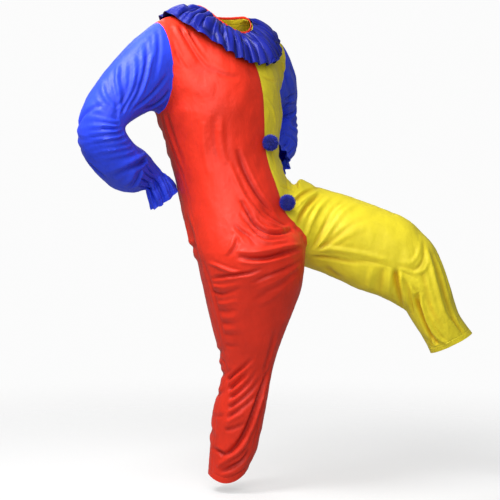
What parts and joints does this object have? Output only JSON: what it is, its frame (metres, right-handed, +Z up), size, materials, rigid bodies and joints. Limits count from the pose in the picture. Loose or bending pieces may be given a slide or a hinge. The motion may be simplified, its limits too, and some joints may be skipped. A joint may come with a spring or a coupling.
{
  "type": "clown costume",
  "caption": "Worn, hollow one-piece clown jumpsuit in red, yellow and blue with a gathered collar, gathered wrists and pompoms, in a hands-on-hips pose with one knee raised.",
  "frame": {"origin": "centre of the neck opening, where the wearer's shoulders and neck hold the garment", "axes": "+Z up, -Y the way the wearer faces, +X towards the wearer's left side"},
  "size_m": [1.0586, 0.7752, 1.4479],
  "materials": {
    "red_cloth": "thin polyester knit with a soft satin sheen",
    "yellow_cloth": "thin polyester knit with a soft satin sheen",
    "blue_cloth": "thin polyester knit with a soft satin sheen",
    "blue_yarn": "matt wool yarn"
  },
  "bodies": {
    "root": {"front_right": "red_cloth", "back_right": "red_cloth", "front_left": "yellow_cloth", "back_left": "yellow_cloth", "sleeve_right": "blue_cloth", "sleeve_left": "blue_cloth", "collar_ruffle": "blue_cloth", "neck_binding": "red_cloth", "pompom_upper": "blue_yarn", "pompom_lower": "blue_yarn"}
  },
  "joints": []
}
